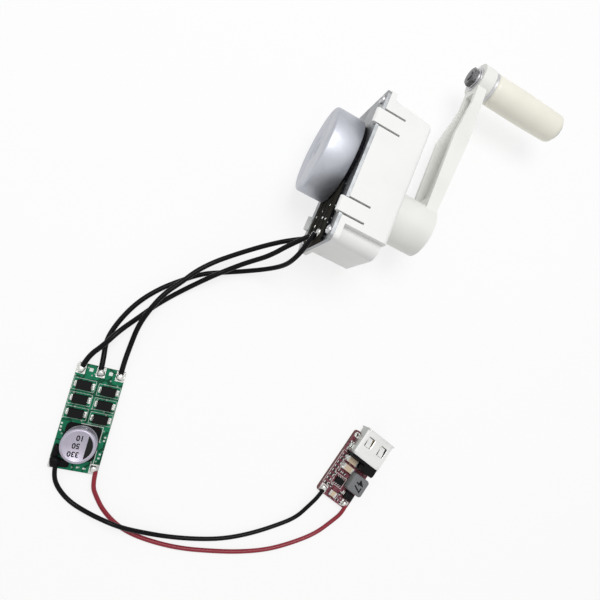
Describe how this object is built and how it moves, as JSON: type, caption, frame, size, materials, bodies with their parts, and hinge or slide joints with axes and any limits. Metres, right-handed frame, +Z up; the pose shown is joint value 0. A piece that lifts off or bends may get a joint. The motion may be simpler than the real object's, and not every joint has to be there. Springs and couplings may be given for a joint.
{
  "type": "hand crank phone charger",
  "caption": "Hand cranked charger: a snap-clip gearbox with its generator and crank arm, wired to a rectifier board and on to a step-down board with a USB socket.",
  "frame": {"origin": "centre of the gearbox housing's lower side face, on the table", "axes": "+X along the shafts from the generator rotor to the crank handle, +Y along the gearbox towards its slanted end, +Z up from the table"},
  "size_m": [0.1401, 0.2255, 0.038],
  "materials": {
    "housing_plastic": "satin",
    "arm_plastic": "satin",
    "grip_plastic": "satin",
    "gear_plastic": "satin",
    "plate_steel": "satin",
    "screw_steel": "satin",
    "dark_screw": "polished",
    "core_steel": "matte",
    "rotor_steel": "satin",
    "socket_steel": "satin",
    "magnet": "matte",
    "brass": "satin",
    "copper": "satin",
    "gold_contact": "polished",
    "can_aluminium": "satin",
    "solder": "satin",
    "black_board": "gloss",
    "green_board": "gloss",
    "maroon_board": "gloss",
    "black_epoxy": "matte",
    "black_plastic": "matte",
    "black_wire": "satin",
    "red_wire": "satin",
    "ferrite": "matte",
    "ceramic": "satin",
    "chip_part": "satin"
  },
  "bodies": {
    "gearbox": {"gearbox_housing": "housing_plastic", "motor_plate": "plate_steel", "plate_screws": "screw_steel", "idler_pins": "screw_steel", "back_bush": "brass", "plate_bush": "brass", "bearing_tube": "brass", "motor_bushes": "brass", "stator_core": "core_steel", "stator_windings": "copper", "stator_board": "black_board", "stator_solder": "solder", "phase_wire_a": "black_wire", "phase_wire_b": "black_wire", "phase_wire_c": "black_wire", "rectifier_board": "green_board", "rectifier_diodes": "black_epoxy", "diode_leads": "solder", "capacitor_base": "black_plastic", "capacitor_can": "can_aluminium", "rectifier_solder": "solder", "dc_wire_black": "black_wire", "dc_wire_red": "red_wire", "usb_board": "maroon_board", "usb_shell": "socket_steel", "usb_tongue": "black_plastic", "usb_contacts": "gold_contact", "usb_rear_cover": "black_plastic", "inductor": "ferrite", "power_diode": "black_epoxy", "ceramic_capacitors": "ceramic", "converter_chip": "black_epoxy", "chip_resistors": "chip_part", "usb_solder": "solder"},
    "crank": {"crank_arm": "arm_plastic", "crank_shaft": "screw_steel", "shaft_clip": "screw_steel", "drive_gear": "gear_plastic", "hub_screw": "dark_screw", "hub_washer": "screw_steel", "grip_bolt": "dark_screw", "grip_nut": "screw_steel", "nut_washer": "screw_steel", "grip_washer": "screw_steel"},
    "grip": {"crank_grip": "grip_plastic"},
    "idler_first": {"idler_gear_first": "gear_plastic"},
    "idler_second": {"idler_gear_second": "gear_plastic"},
    "rotor": {"rotor_cup": "rotor_steel", "magnet_ring": "magnet", "rotor_shaft": "screw_steel", "rotor_collar": "screw_steel", "motor_pinion": "brass"}
  },
  "joints": [
    {"name": "crank_spin", "type": "hinge", "parent": "gearbox", "child": "crank", "pos_m": [0, -0.007, 0.019], "axis": [1, 0, 0], "continuous": true},
    {"name": "grip_spin", "type": "hinge", "parent": "crank", "child": "grip", "pos_m": [0.05, 0.065, 0.019], "axis": [1, 0, 0], "continuous": true},
    {"name": "idler_first_spin", "type": "hinge", "parent": "gearbox", "child": "idler_first", "pos_m": [0, 0.00841, 0.02401], "axis": [1, 0, 0], "continuous": true},
    {"name": "idler_second_spin", "type": "hinge", "parent": "gearbox", "child": "idler_second", "pos_m": [0, 0.01097, 0.01228], "axis": [1, 0, 0], "continuous": true},
    {"name": "rotor_spin", "type": "hinge", "parent": "gearbox", "child": "rotor", "pos_m": [-0.01, 0.0029, 0.019], "axis": [1, 0, 0], "continuous": true}
  ],
  "couplings": [
    {"joint": "idler_first_spin", "follows": "crank_spin", "ratio": -3.5},
    {"joint": "idler_second_spin", "follows": "crank_spin", "ratio": 10.5},
    {"joint": "rotor_spin", "follows": "crank_spin", "ratio": -26.25}
  ]
}
